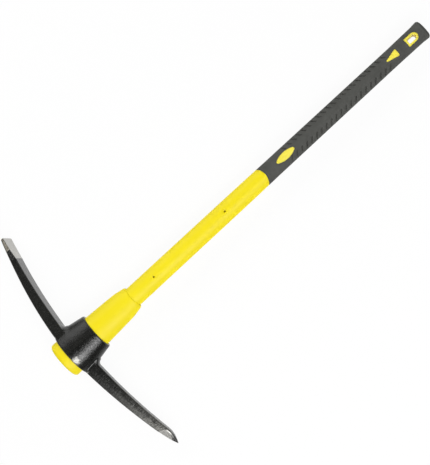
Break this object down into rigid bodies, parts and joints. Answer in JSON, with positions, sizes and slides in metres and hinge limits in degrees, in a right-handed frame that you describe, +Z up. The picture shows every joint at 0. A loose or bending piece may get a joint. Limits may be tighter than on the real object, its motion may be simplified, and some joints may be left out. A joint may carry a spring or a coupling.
{
  "type": "pick axe",
  "caption": "Pick axe: a forged head with a chisel arm and a point arm, driven onto a tapered oval swell, on a fibreglass-cored oval handle with a grooved soft grip.",
  "frame": {"origin": "middle of the footprint on the ground, with the tool lying flat: half way along the handle and half way between the two tips of the head", "axes": "+X along the handle from the knob at the head to the butt, +Y towards the chisel edge, +Z up through the flat of the head"},
  "size_m": [0.9, 0.4984, 0.0608],
  "materials": {
    "forged_steel": "black paint over a forged skin, ground bright at the tips",
    "yellow_plastic": "satin moulded",
    "fibreglass": "pultruded rod",
    "grip_rubber": "matte moulded"
  },
  "bodies": {
    "root": {"pick_head": "forged_steel", "eye_swell": "yellow_plastic", "shaft_jacket": "yellow_plastic", "fibreglass_core": "fibreglass", "grip_sleeve": "grip_rubber"}
  },
  "joints": []
}
